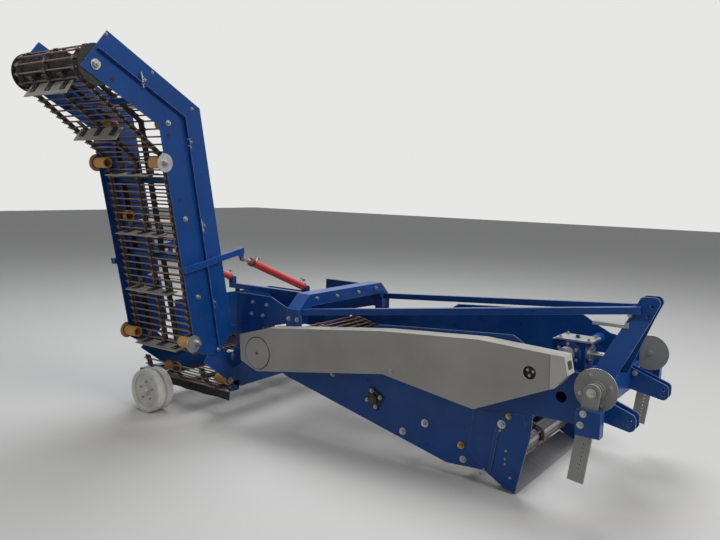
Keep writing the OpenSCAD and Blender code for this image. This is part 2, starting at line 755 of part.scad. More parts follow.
// Front frame: a plate with a flange along the middle and lugs for the outer idlers
module lift_frame() {
    ridge = side_points([leg_foot, knee, tip], 3, false);
    ridge_back = side_points([leg_foot, knee, tip], -3, false);
    color(blue) {
        difference() {
            union() {
                across_x(front_in, frame_t) {
                    polygon(frame_outline);
                    for (p = idlers) translate(p) circle(r = 38);
                }
                across_x(-lift_x - 1, 26)
                    polygon(concat(ridge, [ridge_back[2], ridge_back[1], ridge_back[0]]));
            }
            rod_x(pivot[0], pivot[1], 12.08, front_in - 20, -lift_x + 60);
            translate([0.01, 0, 0]) arm_bar();
        }
    }
}
module lift_frame_front() { lift_frame(); }
module lift_frame_rear() {
    translate([lift_mid, 0, 0]) mirror([1, 0, 0]) translate([-lift_mid, 0, 0]) lift_frame();
}

module lift_tubes() {
    color(blue) for (p = [on_leg(620, -99), on_leg(leg_len - 377, -99), on_head(head_len / 2 - 3, -99)])
        rod_x(p[0], p[1], 20, -lift_x - lift_w + frame_t, front_in);
}

module lift_rollers() {
    color(orange) front_and_rear() for (p = stubs) tube_x(p[0], p[1], stub_r, 28, front_in - stub_l, front_in);
    color(bare) {
        rod_x(head_shaft[0], head_shaft[1], 18, -lift_x - lift_w + frame_t, front_in);
        front_and_rear() rod_x(head_shaft[0], head_shaft[1], 112, front_in - 5, front_in);
    }
    color(dark) for (x = web_wheels) rod_x(head_shaft[0], head_shaft[1], head_r - seat, x, x + wheel_l);
    // Idlers on the return run, each with a washer on the outside of its lug
    color(orange) front_and_rear() for (p = idlers)
        tube_x(p[0], p[1], idler_r, 26, front_in - stub_l, front_in);
    color(bare) front_and_rear() for (p = idlers) rod_x(p[0], p[1], 56, -lift_x, -lift_x + 6);
}

module lift_belts() { lift_web_place() belts(lift_path, false, lift_web_w); }
module lift_rods() { lift_web_place() rods(lift_path, false, lift_web_w); }

// Flights stand on the middle belt, each between two rods
flight_pitch = 8;
flight_first = 9;
module lift_flights() {
    cum = run_lengths(lift_path, false);
    row = rod_row(lift_path, false);
    color(grey) lift_web_place() for (k = [flight_first:flight_pitch:row[0] - 2]) {
        at = along(lift_path, cum, row[2] + (k + 0.5) * row[1]);
        translate([at[0], at[1], (lift_web_w - flight_w) / 2]) rotate(at[2])
            translate([-3, -belt_half - seat - flight_h, 0]) cube([6, flight_h, flight_w]);
    }
}

module lift_arms() {
    color(blue) front_and_rear() {
        arm_bar();
        across_x(-lift_x + 24, 8) polygon(loop_path([
            concat(on_leg(arm_s + 15, arm_ends[1] - 1), [0, 1]), concat(on_leg(arm_s + 15, arm_ends[1] - 60), [0, 1]),
            [-eye_y, eye_z, 18, 1]
        ]));
    }
}

// Lift cylinders, drawn along +X from the barrel pin

cyl_angle = atan2(eye_z - anchor_z, -eye_y - anchor_y);
cyl_len = norm([eye_y + anchor_y, eye_z - anchor_z]);
bore_r = barrel_r - 4;
// Puts a cylinder's parts, drawn along +Y of the plane at x, into place
module cylinder_place(x) { translate([x, anchor_y, anchor_z]) rotate([cyl_angle, 0, 0]) children(); }
module along_y(r, from, to) { rotate([-90, 0, 0]) translate([0, 0, from]) cylinder(r = r, h = to - from); }
module barrel(x) {
    color(red) cylinder_place(x) difference() {
        union() {
            along_y(barrel_r, 24, cyl_len - 60);
            rod_x(0, 0, 18, -15, 15);
            box([-9, 0, -14], [9, 26, 14]);
        }
        rod_x(0, 0, pin_r + 0.08, -30, 30);
        along_y(bore_r, 36, cyl_len - 84);
        along_y(piston_r + 0.05, 36, cyl_len);
    }
}
module rod(x, pin_from, pin_to) {
    color(bare) cylinder_place(x) {
        along_y(bore_r - 0.05, 60, 90);
        along_y(piston_r, 89, cyl_len - 12);
        translate([0, cyl_len, 0]) rod_x(0, 0, 18, -12, 12);
        translate([0, cyl_len, 0]) rod_x(0, 0, pin_r, pin_from, pin_to);
    }
}
module barrel_front() { barrel(cyl_front); }
module barrel_rear() { barrel(cyl_rear); }
module rod_front() { rod(cyl_front, -16, 20); }
module rod_rear() { rod(cyl_rear, -20, 16); }

// Extents that put the origin on the ground below the middle of the machine
front_end = link_x + link_end_r;
rear_end = cyl_rear - barrel_r;
left_end = wheel_y + wheel_w / 2;
right_end = head_shaft[0] - 112;
module placed() { translate([-(front_end + rear_end) / 2, -(left_end + right_end) / 2, 0]) children(); }

placed() side_plate(-1);  // side_plate_right
placed() side_plate(1);  // side_plate_left
placed() share();
placed() front_beam();
placed() lower_link_right();
placed() lower_link_left();
placed() mast();
placed() upper_rails();
placed() arch_beam();
placed() gearbox();
placed() cross_shaft();
placed() chain_guard();
placed() guard_cover();
placed() digging_belts();
placed() digging_rods();
placed() digging_rollers();
placed() cross_belts();
placed() cross_rods();
placed() cross_plate_front();
placed() cross_plate_rear();
placed() cross_rollers();
placed() rear_links();
placed() hopper_sides();
placed() hopper_back();
placed() cylinder_rail();
placed() rubber_flap();
placed() coulter_holders();
placed() coulter_shanks();
placed() coulter_disc_right();
placed() coulter_disc_left();
placed() wheel_mount();
placed() gauge_wheel_right();
placed() gauge_wheel_left();
placed() lift_frame_front();
placed() lift_frame_rear();
placed() lift_tubes();
placed() lift_belts();
placed() lift_rods();
placed() lift_flights();
placed() lift_rollers();
placed() lift_arms();
placed() barrel_front();
placed() barrel_rear();
placed() rod_front();
placed() rod_rear();
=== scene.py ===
# Looks of a mounted potato harvester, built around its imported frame.
# Places are given as the machine has them: millimetres from the share's edge, forward, left and up.
import json
import math
import bmesh
import bpy
from mathutils import Matrix, Vector


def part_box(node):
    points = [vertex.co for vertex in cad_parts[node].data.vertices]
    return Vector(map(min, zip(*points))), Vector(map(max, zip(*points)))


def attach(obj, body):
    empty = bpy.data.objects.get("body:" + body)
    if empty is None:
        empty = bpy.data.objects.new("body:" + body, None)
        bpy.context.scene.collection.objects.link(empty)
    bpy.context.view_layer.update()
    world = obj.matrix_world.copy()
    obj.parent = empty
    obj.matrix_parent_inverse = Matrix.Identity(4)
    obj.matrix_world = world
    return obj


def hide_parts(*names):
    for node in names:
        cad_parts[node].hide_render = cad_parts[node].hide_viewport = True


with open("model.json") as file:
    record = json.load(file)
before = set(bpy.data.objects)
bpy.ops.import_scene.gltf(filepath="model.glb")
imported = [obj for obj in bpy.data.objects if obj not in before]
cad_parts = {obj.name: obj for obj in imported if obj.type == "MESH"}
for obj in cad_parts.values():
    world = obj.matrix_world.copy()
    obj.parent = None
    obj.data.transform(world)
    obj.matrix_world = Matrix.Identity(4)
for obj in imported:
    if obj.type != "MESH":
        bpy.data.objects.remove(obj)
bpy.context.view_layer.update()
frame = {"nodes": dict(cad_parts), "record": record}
share_low, share_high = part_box("share")
ORIGIN = Vector((share_high.x, (share_low.y + share_high.y) / 2, 0))
MM = 0.001
LEFT = (0, 1, 0)
RIGHT = (0, -1, 0)
FRONT = (1, 0, 0)
REAR = (-1, 0, 0)
UP = (0, 0, 1)
SIDES = ((-1, "right", RIGHT), (1, "left", LEFT))
# Along the machine: the elevator's middle, its front frame's face, and the front cross plate's face
LIFT_MID = -2420
LIFT_FACE = -2080
CROSS_FACE = -2092
# From the machine's middle: outer faces of the side plates, their shoes and their bearings
PLATE_FACE = 500
SHOE_FACE = 504
BEARING_FACE = 514
# Outer face of the chain guard, on the right
GUARD_FACE = -622
# Axes that run across the machine: x, z
SHAFT = (88, 700)
BEARING = (-910, 343)
COVER = (-1754, 503)
DISC = (385, 645)
WHEEL = (-2570, 150)


def place(x, y, z):
    """A place on the machine, in metres of the shared frame."""
    return ORIGIN + Vector((x, y, z)) * MM


def on_axis(axis, y):
    """The place on an axis that lies y from the machine's middle."""
    return axis[0], y, axis[1]


def mirrored(x):
    """The mirror image of x about the elevator's middle."""
    return 2 * LIFT_MID - x


# Camera and stage

CAMERA_AT = (1391, -3897, 1597)
YAW = math.radians(35.625)
PITCH = math.radians(-6.805)
ROLL = math.radians(1.476)
FOCAL_PX = 710.08
PHOTO_W = 720
SENSOR_MM = 36
# In metres: half the floor's width, and the point that the lamps look at
FLOOR_HALF = 30
LAMPS_AIM = Vector((0, 0, 0.8))


def aim_camera():
    """The photo's camera."""
    look = Vector((-math.sin(YAW) * math.cos(PITCH), math.cos(YAW) * math.cos(PITCH), math.sin(PITCH)))
    level = Vector((math.cos(YAW), math.sin(YAW), 0))
    upright = level.cross(look)
    right = math.cos(ROLL) * level + math.sin(ROLL) * upright
    up = math.cos(ROLL) * upright - math.sin(ROLL) * level
    data = bpy.data.cameras.new("camera")
    data.sensor_fit = "HORIZONTAL"
    data.sensor_width = SENSOR_MM
    data.lens = SENSOR_MM * FOCAL_PX / PHOTO_W
    data.clip_end = 100
    camera = bpy.data.objects.new("camera", data)
    turn = Matrix((right, up, -look)).transposed().to_4x4()
    camera.matrix_world = Matrix.Translation(place(*CAMERA_AT)) @ turn
    bpy.context.scene.collection.objects.link(camera)
    bpy.context.scene.camera = camera


def lay_floor():
    """A wide, pale, plain floor."""
    mesh = bpy.data.meshes.new("floor")
    corners = [(-1, -1), (1, -1), (1, 1), (-1, 1)]
    mesh.from_pydata([(x * FLOOR_HALF, y * FLOOR_HALF, 0) for x, y in corners], [], [(0, 1, 2, 3)])
    floor = bpy.data.objects.new("floor", mesh)
    bpy.context.scene.collection.objects.link(floor)
    material = bpy.data.materials.new("floor")
    material.use_nodes = True
    shader = material.node_tree.nodes["Principled BSDF"]
    shader.inputs["Base Color"].default_value = (0.47, 0.465, 0.455, 1)
    shader.inputs["Roughness"].default_value = 0.75
    mesh.materials.append(material)


def hang_lamp(name, at, size, power, colour):
    """A square lamp at a place in metres, aimed at the machine."""
    data = bpy.data.lights.new(name, "AREA")
    data.size = size
    data.energy = power
    data.color = colour
    lamp = bpy.data.objects.new(name, data)
    lamp.location = at
    lamp.rotation_euler = (LAMPS_AIM - Vector(at)).to_track_quat("-Z", "Y").to_euler()
    bpy.context.scene.collection.objects.link(lamp)


def light_stage():
    """Three soft lamps, and a world that looks like a pale wall but lights the scene only a little."""
    world = bpy.data.worlds.new("studio")
    bpy.context.scene.world = world
    world.use_nodes = True
    nodes = world.node_tree.nodes
    links = world.node_tree.links
    shade = nodes["Background"]
    shade.inputs["Color"].default_value = (0.86, 0.89, 0.95, 1)
    shade.inputs["Strength"].default_value = 0.22
    wall = nodes.new("ShaderNodeBackground")
    wall.inputs["Color"].default_value = (0.80, 0.80, 0.79, 1)
    wall.inputs["Strength"].default_value = 1.0
    rays = nodes.new("ShaderNodeLightPath").outputs
    seen = rays["Is Camera Ray"]
    for kind in ("Is Glossy Ray", "Is Transmission Ray"):
        either = nodes.new("ShaderNodeMath")
        either.operation = "MAXIMUM"
        links.new(seen, either.inputs[0])
        links.new(rays[kind], either.inputs[1])
        seen = either.outputs["Value"]
    mix = nodes.new("ShaderNodeMixShader")
    links.new(seen, mix.inputs["Fac"])
    links.new(shade.outputs["Background"], mix.inputs[1])
    links.new(wall.outputs["Background"], mix.inputs[2])
    links.new(mix.outputs["Shader"], nodes["World Output"].inputs["Surface"])
    hang_lamp("key", (6.0, -0.5, 6.0), 4.0, 430, (1.0, 0.98, 0.95))
    hang_lamp("top", (-2.0, 2.5, 7.5), 5.0, 560, (0.95, 0.97, 1.0))
    hang_lamp("fill", (-4.5, -7.0, 4.0), 4.0, 75, (1.0, 1.0, 1.0))


# Materials

COAT_ROUGHNESS = 0.12
SPECULAR = 0.35
BLUE_SPECULAR = 0.22
BUMP_STRENGTH = 0.35
BUMP_HEIGHT = 0.4 * MM


class Finish:
    """A procedural material, made of one look or of several that masks lay over each other.

    A look is a colour, a roughness, a metal share and a height for the bump.
    """

    def __init__(self, name, coat):
        self.material = bpy.data.materials.new(name)
        self.material.use_nodes = True
        self.nodes = self.material.node_tree.nodes
        self.links = self.material.node_tree.links
        self.shader = self.nodes["Principled BSDF"]
        self.shader.inputs["Coat Weight"].default_value = coat
        self.shader.inputs["Coat Roughness"].default_value = COAT_ROUGHNESS
        self.shader.inputs["Specular IOR Level"].default_value = SPECULAR
        self.coords = self.nodes.new("ShaderNodeTexCoord").outputs["Object"]
        self.look = None

    def noise(self, scale, detail, stretch=(1, 1, 1)):
        mapping = self.nodes.new("ShaderNodeMapping")
        mapping.inputs["Scale"].default_value = stretch
        self.links.new(self.coords, mapping.inputs["Vector"])
        node = self.nodes.new("ShaderNodeTexNoise")
        node.inputs["Scale"].default_value = scale
        node.inputs["Detail"].default_value = detail
        self.links.new(mapping.outputs["Vector"], node.inputs["Vector"])
        return node.outputs["Fac"]

    def ramp(self, value, low, high, start=(0, 0, 0), end=(1, 1, 1)):
        """A ramp from one colour to another as a value goes from low to high."""
        node = self.nodes.new("ShaderNodeValToRGB")
        node.color_ramp.elements[0].position = low
        node.color_ramp.elements[1].position = high
        node.color_ramp.elements[0].color = (*start, 1)
        node.color_ramp.elements[1].color = (*end, 1)
        self.links.new(value, node.inputs["Fac"])
        return node.outputs["Color"]

    def axis(self, name):
        split = self.nodes.new("ShaderNodeSeparateXYZ")
        self.links.new(self.coords, split.inputs["Vector"])
        return split.outputs[name]

    def math(self, kind, a, b):
        """A math node on two values, each a number or a socket."""
        node = self.nodes.new("ShaderNodeMath")
        node.operation = kind
        for socket, value in zip(node.inputs, (a, b)):
            if isinstance(value, (int, float)):
                socket.default_value = value
            else:
                self.links.new(value, socket)
        return node.outputs["Value"]

    def mix(self, amount, a, b):
        """A mix of two colours, each a tuple or a socket."""
        node = self.nodes.new("ShaderNodeMix")
        node.data_type = "RGBA"
        self.links.new(amount, node.inputs["Factor"])
        for key, value in (("A", a), ("B", b)):
            socket = next(s for s in node.inputs if s.name == key and s.type == "RGBA")
            if isinstance(value, tuple):
                socket.default_value = (*value, 1)
            else:
                self.links.new(value, socket)
        return next(s for s in node.outputs if s.type == "RGBA")

    def spread(self, value, low, high):
        """A value from 0 to 1, spread from low to high."""
        node = self.nodes.new("ShaderNodeMapRange")
        node.inputs["To Min"].default_value = low
        node.inputs["To Max"].default_value = high
        self.links.new(value, node.inputs["Value"])
        return node.outputs["Result"]

    def beyond(self, name, mm, below=False):
        """Mask of what lies beyond a place along an axis, or below it."""
        limit = place(mm, mm, mm)["XYZ".index(name)]
        return self.math("LESS_THAN" if below else "GREATER_THAN", self.axis(name), limit)

    def near(self, at, reach):
        """Mask of what lies within reach of a place."""
        node = self.nodes.new("ShaderNodeVectorMath")
        node.operation = "DISTANCE"
        node.inputs[1].default_value = place(*at)
        self.links.new(self.coords, node.inputs[0])
        return self.math("LESS_THAN", node.outputs["Value"], reach * MM)

    def edges(self):
        """Mask of the outer edges, where paint wears and gets a painted highlight, and where zinc gets
        painted shade.
        """
        bevel_node = self.nodes.new("ShaderNodeBevel")
        bevel_node.samples = 4
        bevel_node.inputs["Radius"].default_value = 3 * MM
        face = self.nodes.new("ShaderNodeNewGeometry")
        dot = self.nodes.new("ShaderNodeVectorMath")
        dot.operation = "DOT_PRODUCT"
        self.links.new(bevel_node.outputs["Normal"], dot.inputs[0])
        self.links.new(face.outputs["Normal"], dot.inputs[1])
        return self.ramp(self.math("SUBTRACT", 1.0, dot.outputs["Value"]), 0.01, 0.2)

    def wear(self, look, mask=None):
        """Gives the surface a look, all over or where the mask is 1."""
        if mask is not None:
            values = [self.blend(mask, a, b) for a, b in zip(self.look[1:], look[1:])]
            look = (self.mix(mask, self.look[0], look[0]), *values)
        self.look = look
        return self

    def blend(self, mask, a, b):
        """The value b where the mask is 1, and a elsewhere."""
        rest = self.math("MULTIPLY", self.math("SUBTRACT", 1.0, mask), a)
        return self.math("ADD", rest, self.math("MULTIPLY", mask, b))

    def done(self):
        """Joins the look to the shader."""
        colour, rough, metal, height = self.look
        self.links.new(colour, self.shader.inputs["Base Color"])
        self.links.new(rough, self.shader.inputs["Roughness"])
        if isinstance(metal, float):
            self.shader.inputs["Metallic"].default_value = metal
        else:
            self.links.new(metal, self.shader.inputs["Metallic"])
        bump = self.nodes.new("ShaderNodeBump")
        bump.inputs["Strength"].default_value = BUMP_STRENGTH
        bump.inputs["Distance"].default_value = BUMP_HEIGHT
        self.links.new(height, bump.inputs["Height"])
        self.links.new(bump.outputs["Normal"], self.shader.inputs["Normal"])
        return self


BLUE = (0.004, 0.047, 0.205)
BLUE_DUST = (0.05, 0.08, 0.14)
GREY = (0.27, 0.262, 0.238)
# The guard's grey made lighter for its front cap: painted light, as that face turns to the lamps
PAINTED_LIT_GREY = (0.42, 0.41, 0.385)
GREY_DUST = (0.30, 0.28, 0.24)
COULTER = (0.22, 0.225, 0.21)
COULTER_DUST = (0.24, 0.22, 0.19)
RED = (0.50, 0.025, 0.022)
RED_DUST = (0.30, 0.20, 0.18)
YELLOW = (0.52, 0.27, 0.07)
YELLOW_DUST = (0.30, 0.22, 0.14)
PALE = (0.58, 0.57, 0.54)
PALE_DUST = (0.36, 0.33, 0.28)
BLACK = (0.016, 0.015, 0.015)
IRON = (0.03, 0.03, 0.03)
IRON_DUST = (0.12, 0.11, 0.10)
STEEL = (0.50, 0.50, 0.52)
LID_STEEL = (0.38, 0.39, 0.42)
ROD_STEEL = (0.20, 0.14, 0.115)
FLIGHT_STEEL = (0.36, 0.34, 0.30)
ZINC = (0.50, 0.50, 0.49)
GOLD = (0.42, 0.32, 0.13)
# Dark tone for painted shade on the edges of zinc heads and washers
PAINTED_SHADE = (0.09, 0.09, 0.085)
RUST = (0.26, 0.17, 0.11)


def shades(colour, low, high):
    """A colour made darker and made lighter."""
    return tuple(c * low for c in colour), tuple(min(1.0, c * high) for c in colour)


def sprayed(f, colour, dust, rough, edge_wear_and_highlight=True):
    """Sprayed paint: fine orange peel, cloudy tone, dust towards the ground, and lighter edges that are
    partly thin paint that wears and partly a painted highlight.
    """
    grain = f.noise(9.0, 8)
    dark, light = shades(colour, 0.86, 1.12)
    tone = f.mix(f.ramp(f.noise(2.2, 6), 0.35, 0.7), dark, light)
    low = f.ramp(f.axis("Z"), 0.0, 0.9, (1, 1, 1), (0.25, 0.25, 0.25))
    film = f.math("MULTIPLY", f.math("MULTIPLY", f.ramp(grain, 0.48, 0.78), low), 0.35)
    tone = f.mix(film, tone, dust)
    if edge_wear_and_highlight:
        # Lighter edges: partly paint that wears, partly a painted highlight where the edges catch the light
        wear_and_highlight = f.math("MULTIPLY", f.edges(), f.ramp(f.noise(30.0, 5), 0.25, 0.6))
        tone = f.mix(f.math("MULTIPLY", wear_and_highlight, 0.75), tone, tuple(0.4 * c + 0.34 for c in colour))
    return tone, f.spread(grain, rough - 0.06, rough + 0.16), 0.0, f.noise(420.0, 2)


def ground(f, colour, rough=0.34, rust=0.5):
    """Bare steel with rolling streaks and light rust stains."""
    streak = f.noise(6.0, 5, (1, 14, 1))
    dark, light = shades(colour, 0.7, 1.0)
    tone = f.mix(f.ramp(streak, 0.3, 0.75), dark, light)
    stain = f.math("MULTIPLY", f.ramp(f.noise(3.0, 6), 0.55, 0.8), rust)
    return f.mix(stain, tone, RUST), f.spread(streak, rough - 0.08, rough + 0.18), 0.85, streak


def moulded(f, colour, dust, rough):
    """Moulded plastic with a dull skin and scuffs."""
    scuff = f.noise(26.0, 8)
    dark, light = shades(colour, 0.8, 1.1)
    tone = f.mix(f.ramp(f.noise(5.0, 5), 0.3, 0.7), dark, light)
    tone = f.mix(f.math("MULTIPLY", f.ramp(scuff, 0.5, 0.72), 0.45), tone, dust)
    return tone, f.spread(scuff, rough - 0.05, rough + 0.2), 0.0, f.noise(300.0, 3)


def rubbery(f):
    """Black rubber with a fine bloom of soil dust."""
    dark, light = shades(BLACK, 1.0, 2.2)
    tone = f.mix(f.ramp(f.noise(60.0, 6), 0.4, 0.75), dark, light)
    return tone, f.spread(f.noise(40.0, 4), 0.62, 0.85), 0.0, f.noise(260.0, 3)


def make_blue(f):
    """Blue paint, less glossy than the rest, so that the pale wall doesn't grey it."""
    f.shader.inputs["Specular IOR Level"].default_value = BLUE_SPECULAR
    return sprayed(f, BLUE, BLUE_DUST, 0.26)


def make_iron(f):
    return sprayed(f, IRON, IRON_DUST, 0.45, False)


def make_zinc(f):
    """Zinc plate with painted shade along the edges of heads and washers."""
    tone, rough, metal, height = ground(f, ZINC, 0.3, 0.15)
    # Painted shade: the edges of heads and washers are darkened where shade falls in their gaps
    return f.mix(f.math("MULTIPLY", f.edges(), 0.75), tone, PAINTED_SHADE), rough, metal, height


def make_bright(f):
    return ground(f, STEEL)


def make_lid(f):
    return ground(f, LID_STEEL, 0.4, 0.2)


def make_yellow(f):
    return moulded(f, YELLOW, YELLOW_DUST, 0.45)


def plain(name, coat, look, *values):
    """A finish with one look all over."""
    made = Finish(name, coat)
    return made.wear(look(made, *values)).done()


def zoned(name, coat, first, zones):
    """A finish for a node of several materials. Zones: look, axis, place along it, whether below it."""
    made = Finish(name, coat)
    made.wear(first(made))
    for look, axis, mm, below in zones:
        made.wear(look(made), made.beyond(axis, mm, below))
    return made.done()


def plated():
    """Blue side plates whose bearings, out beyond the plates, are black."""
    made = Finish("side_plate", 0.04)
    made.wear(make_blue(made))
    for side in (-1, 1):
        block = made.near(on_axis(BEARING, side * BEARING_FACE), 74)
        outside = made.beyond("Y", side * (PLATE_FACE + 0.4), below=side < 0)
        made.wear(make_iron(made), made.math("MULTIPLY", block, outside))
    return made.done()


blue = plain("blue_paint", 0.04, make_blue)
grey = plain("grey_paint", 0.15, sprayed, GREY, GREY_DUST, 0.4)
# Lighter copy of the guard's grey paint: painted light for the guard's front cap
painted_lit_grey = plain("painted_lit_grey", 0.15, sprayed, PAINTED_LIT_GREY, GREY_DUST, 0.35)
coulter_grey = plain("coulter_grey", 0.1, sprayed, COULTER, COULTER_DUST, 0.4)
red = plain("red_paint", 0.3, sprayed, RED, RED_DUST, 0.28)
pale = plain("pale_plastic", 0.0, moulded, PALE, PALE_DUST, 0.5)
yellow = plain("yellow_plastic", 0.0, make_yellow)
bright = plain("bright_steel", 0.0, make_bright)
zinc = plain("zinc_steel", 0.0, make_zinc)
gold = plain("yellow_zinc", 0.0, ground, GOLD, 0.3, 0.2)
rod_steel = plain("brown_steel", 0.0, ground, ROD_STEEL, 0.42)
flight_steel = plain("flight_steel", 0.0, ground, FLIGHT_STEEL, 0.5, 0.35)
black = plain("black_rubber", 0.0, rubbery)
iron = plain("black_iron", 0.2, make_iron)
plating = plated()

slot_finishes = {
    "grey_paint": grey, "bright_steel": bright, "brown_steel": rod_steel, "yellow_plastic": yellow,
    "red_paint": red, "pale_plastic": pale, "black_rubber": black, "blue_paint": blue,
}
node_finishes = {
    "gearbox": zoned("gearbox", 0.2, make_blue, [
        (make_bright, "X", 184, False),
        (make_lid, "Z", 771.5, False),
    ]),
    "cross_shaft": zoned("cross_shaft", 0.0, make_bright, [
        (rubbery, "Y", -543, True),
        (make_blue, "Y", 89, False),
    ]),
    "digging_rollers": zoned("digging_rollers", 0.0, make_yellow, [
        (make_bright, "X", -175, False),
        (rubbery, "X", -1640, True),
    ]),
    "cross_rollers": zoned("cross_rollers", 0.0, make_yellow, [
        (make_blue, "Y", -50, False),
        (rubbery, "Y", 400, False),
        (make_bright, "Z", 352, False),
    ]),
    "lift_rollers": zoned("lift_rollers", 0.0, make_yellow, [
        (rubbery, "Y", -1400, True),
        (make_bright, "X", LIFT_FACE + 0.2, False),
        (make_bright, "X", mirrored(LIFT_FACE + 0.2), True),
    ]),
    "wheel_mount": zoned("wheel_mount", 0.04, make_blue, [
        (make_bright, "Y", 745.5, False),
        (make_bright, "Y", -745.5, True),
    ]),
    "side_plate_right": plating, "side_plate_left": plating, "lift_flights": flight_steel,
    "coulter_shanks": coulter_grey, "coulter_disc_right": coulter_grey, "coulter_disc_left": coulter_grey,
}
for part in frame["record"]["subparts"]:
    node = frame["nodes"][part["node"]]
    finish = node_finishes.get(part["node"], slot_finishes[part["material_slot"]])
    node.data.materials.clear()
    node.data.materials.append(finish.material)


# Repeated small parts

class Pattern:
    """A Geometry Nodes tree that sets one shape at every point of a mesh.

    The shape's sizes are the tree's inputs, and are given here in mm. The points say by their attributes
    how the shape is turned and scaled at each of them.
    """

    def __init__(self, name, sizes):
        self.sizes = sizes
        self.tree = bpy.data.node_groups.new(name, "GeometryNodeTree")
        sockets = self.tree.interface
        sockets.new_socket("Points", in_out="INPUT", socket_type="NodeSocketGeometry")
        for key, value in sizes.items():
            socket = sockets.new_socket(key, in_out="INPUT", socket_type="NodeSocketFloat")
            socket.default_value = value * MM
        sockets.new_socket("Finish", in_out="INPUT", socket_type="NodeSocketMaterial")
        sockets.new_socket("Shape", in_out="OUTPUT", socket_type="NodeSocketGeometry")
        self.given = self.tree.nodes.new("NodeGroupInput").outputs
        self.join = self.tree.nodes.new("GeometryNodeJoinGeometry")

    def node(self, kind, inputs, **settings):
        made = self.tree.nodes.new(kind)
        for key, value in settings.items():
            setattr(made, key, value)
        for key, value in inputs.items():
            if isinstance(value, bpy.types.NodeSocket):
                self.tree.links.new(value, made.inputs[key])
            else:
                made.inputs[key].default_value = value
        return made

    def math(self, kind, a, b):
        return self.node("ShaderNodeMath", {0: a, 1: b}, operation=kind).outputs[0]

    def times(self, value, share):
        return self.math("MULTIPLY", value, share)

    def at(self, x, y, z):
        return self.node("ShaderNodeCombineXYZ", {0: x, 1: y, 2: z}).outputs[0]

    def put(self, made, offset, turn=(0, 0, 0)):
        """Adds a node's mesh to the shape, turned and then moved by an offset."""
        inputs = {"Geometry": made.outputs["Mesh"], "Translation": offset, "Rotation": turn}
        self.tree.links.new(self.node("GeometryNodeTransform", inputs).outputs[0], self.join.inputs[0])

    def cylinder(self, radius, depth, sides):
        inputs = {"Vertices": sides, "Radius": radius, "Depth": depth}
        return self.node("GeometryNodeMeshCylinder", inputs)

    def drum(self, radius, depth, base, sides, x=0.0):
        """A cylinder that stands on a base height."""
        centre = self.math("ADD", base, self.times(depth, 0.5))
        self.put(self.cylinder(radius, depth, sides), self.at(x, 0.0, centre))

    def block(self, x, y, z, offset):
        self.put(self.node("GeometryNodeMeshCube", {"Size": self.at(x, y, z)}), offset)

    def close(self):
        """Sets the shape at the points, makes it real and gives it its finish."""
        attribute = "GeometryNodeInputNamedAttribute"
        turn = self.node(attribute, {"Name": "turn"}, data_type="FLOAT_VECTOR")
        scale = self.node(attribute, {"Name": "size"}, data_type="FLOAT")
        rows = self.node("GeometryNodeInstanceOnPoints", {
            "Points": self.given["Points"],
            "Instance": self.join.outputs[0],
            "Rotation": self.node("FunctionNodeEulerToRotation", {0: turn.outputs["Attribute"]}).outputs[0],
            "Scale": scale.outputs["Attribute"],
        })
        real = self.node("GeometryNodeRealizeInstances", {0: rows.outputs[0]})
        inputs = {"Geometry": real.outputs[0], "Material": self.given["Finish"]}
        coated = self.node("GeometryNodeSetMaterial", inputs)
        self.tree.links.new(coated.outputs[0], self.tree.nodes.new("NodeGroupOutput").inputs[0])
        return self


def hex_bolt():
    """A hexagon head or nut on a round washer, with the end of its thread."""
    p = Pattern("hex_bolt", {
        "Head": 12.5, "Head height": 11, "Washer": 17.5, "Washer thickness": 3,
        "Thread": 6.5, "Thread length": 7,
    })
    g = p.given
    p.drum(g["Washer"], g["Washer thickness"], 0.0, 20)
    p.drum(g["Head"], g["Head height"], g["Washer thickness"], 6)
    p.drum(g["Thread"], g["Thread length"], p.math("ADD", g["Washer thickness"], g["Head height"]), 10)
    return p.close()


def round_plug():
    """A low plug in a round hole, with a raised crown."""
    p = Pattern("round_plug", {"Radius": 13, "Height": 1, "Crown": 9, "Crown height": 2.2})
    p.drum(p.given["Radius"], p.given["Height"], 0.0, 24)
    p.drum(p.given["Crown"], p.given["Crown height"], 0.0, 24)
    return p.close()


def rod_clip():
    """A clip that holds a web rod on its belt, with two rivets. X runs along the belt."""
    p = Pattern("rod_clip", {"Length": 18, "Width": 26, "Height": 5, "Rivet": 3.5, "Rivet height": 4})
    g = p.given
    p.block(g["Length"], g["Width"], g["Height"], p.at(0.0, 0.0, p.times(g["Height"], 0.5)))
    for share in (0.75, -0.75):
        p.drum(g["Rivet"], g["Rivet height"], 0.0, 8, p.times(g["Length"], share))
    return p.close()


def flight_brace():
    """A bent brace of a flight, with a bolt on each leg. X points away from the flight."""
    p = Pattern("flight_brace", {"Leg": 62, "Width": 44, "Gauge": 5, "Head": 8, "Head height": 6})
    g = p.given
    half = p.times(g["Leg"], 0.5)
    thin = p.times(g["Gauge"], 0.5)
    p.block(g["Gauge"], g["Width"], g["Leg"], p.at(thin, 0.0, half))
    p.block(g["Leg"], g["Width"], g["Gauge"], p.at(half, 0.0, thin))
    p.drum(g["Head"], g["Head height"], g["Gauge"], 6, half)
    out = p.math("ADD", g["Gauge"], p.times(g["Head height"], 0.5))
    p.put(p.cylinder(g["Head"], g["Head height"], 6), p.at(out, 0.0, half), (0, math.pi / 2, 0))
    return p.close()


def frame_tab():
    """A plate on the elevator's frame, with weld beads along its sides. X runs along the leg."""
    p = Pattern("tab", {"Length": 78, "Width": 44, "Gauge": 6, "Bead": 4})
    g = p.given
    for share in (-0.5, 0.5):
        p.block(g["Length"], g["Bead"], g["Bead"], p.at(0.0, p.times(g["Width"], share), 0.0))
    p.block(g["Length"], g["Width"], g["Gauge"], p.at(0.0, 0.0, p.times(g["Gauge"], 0.5)))
    return p.close()


